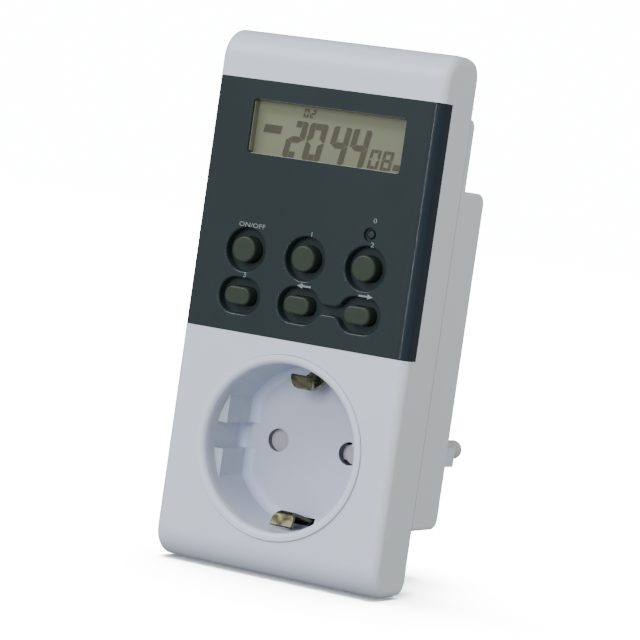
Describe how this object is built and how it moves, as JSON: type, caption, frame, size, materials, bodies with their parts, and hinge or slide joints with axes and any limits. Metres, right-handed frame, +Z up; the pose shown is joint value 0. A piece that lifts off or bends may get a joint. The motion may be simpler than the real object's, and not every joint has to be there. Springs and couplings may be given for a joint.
{
  "type": "digital timer switch",
  "caption": "Plug-through digital timer with a display and keypad panel above an earthed round socket, and a two-pin earthed plug on the back.",
  "frame": {"origin": "centre of the plug's end face, between the two pins, on the axis that the plug and the socket share", "axes": "+Y towards the wall socket along the pins, +Z up the long side, +X to the right seen from the front"},
  "size_m": [0.0588, 0.0765, 0.1245],
  "materials": {
    "white_plastic": "moulded ABS, fine satin grain",
    "socket_plastic": "moulded, smooth satin",
    "dark_panel": "polished dark slate",
    "display_glass": "liquid crystal display behind a polariser",
    "connector_rubber": "layered elastomer",
    "mat_rubber": "silicone rubber",
    "key_green": "satin olive green",
    "reset_grey": "satin dark grey",
    "board_green": "solder mask",
    "black_epoxy": "moulded epoxy",
    "tin_can": "tinned can",
    "relay_case": "relay cover",
    "capacitor_case": "yellow case",
    "varistor_coat": "epoxy coat",
    "shutter_grey": "smooth grey",
    "spring_steel": "drawn wire",
    "nickel_brass": "nickel plated",
    "contact_brass": "rolled brass",
    "earth_brass": "nickel plated spring brass",
    "screw_steel": "zinc plated"
  },
  "bodies": {
    "housing": {"front_shell": "white_plastic", "rear_shell": "white_plastic", "plug_body": "white_plastic", "socket_insert": "socket_plastic", "contact_carrier": "socket_plastic", "display_panel": "dark_panel", "display_glass": "display_glass", "display_holder": "socket_plastic", "display_connector": "connector_rubber", "keypad_mat": "mat_rubber", "control_board": "board_green", "power_board": "board_green", "controller_chip": "black_epoxy", "board_link": "black_epoxy", "quartz_crystal": "tin_can", "backup_battery": "tin_can", "relay": "relay_case", "film_capacitor": "capacitor_case", "smoothing_capacitor": "tin_can", "varistor": "varistor_coat", "fuse_resistor": "varistor_coat", "shutter_spring": "spring_steel", "plug_pins": "nickel_brass", "neutral_rail": "contact_brass", "line_output_rail": "contact_brass", "line_input_rail": "contact_brass", "earth_clip_top": "earth_brass", "earth_clip_bottom": "earth_brass", "housing_screws": "screw_steel", "board_screws": "screw_steel"},
    "key_on_off": {"key_on_off": "key_green"},
    "key_countdown": {"key_countdown": "key_green"},
    "key_random": {"key_random": "key_green"},
    "key_set": {"key_set": "key_green"},
    "key_previous": {"key_previous": "key_green"},
    "key_next": {"key_next": "key_green"},
    "key_reset": {"key_reset": "reset_grey"},
    "safety_shutter": {"safety_shutter": "shutter_grey"}
  },
  "joints": [
    {"name": "key_on_off_press", "type": "slide", "parent": "housing", "child": "key_on_off", "axis": [0, 1, 0], "range_m": [0, 0.001], "stiffness_N_per_m": 400, "springref_m": -0.0004},
    {"name": "key_countdown_press", "type": "slide", "parent": "housing", "child": "key_countdown", "axis": [0, 1, 0], "range_m": [0, 0.001], "stiffness_N_per_m": 400, "springref_m": -0.0004},
    {"name": "key_random_press", "type": "slide", "parent": "housing", "child": "key_random", "axis": [0, 1, 0], "range_m": [0, 0.001], "stiffness_N_per_m": 400, "springref_m": -0.0004},
    {"name": "key_set_press", "type": "slide", "parent": "housing", "child": "key_set", "axis": [0, 1, 0], "range_m": [0, 0.001], "stiffness_N_per_m": 400, "springref_m": -0.0004},
    {"name": "key_previous_press", "type": "slide", "parent": "housing", "child": "key_previous", "axis": [0, 1, 0], "range_m": [0, 0.001], "stiffness_N_per_m": 400, "springref_m": -0.0004},
    {"name": "key_next_press", "type": "slide", "parent": "housing", "child": "key_next", "axis": [0, 1, 0], "range_m": [0, 0.001], "stiffness_N_per_m": 400, "springref_m": -0.0004},
    {"name": "key_reset_press", "type": "slide", "parent": "housing", "child": "key_reset", "axis": [0, 1, 0], "range_m": [0, 0.0008], "stiffness_N_per_m": 400, "springref_m": -0.0004},
    {"name": "shutter_turn", "type": "hinge", "parent": "housing", "child": "safety_shutter", "pos_m": [0, -0.03605, 0], "axis": [0, 1, 0], "range_deg": [0, 42], "stiffness_Nm_per_rad": 0.004, "springref_deg": -11.46, "deforming": ["shutter_spring"]}
  ]
}
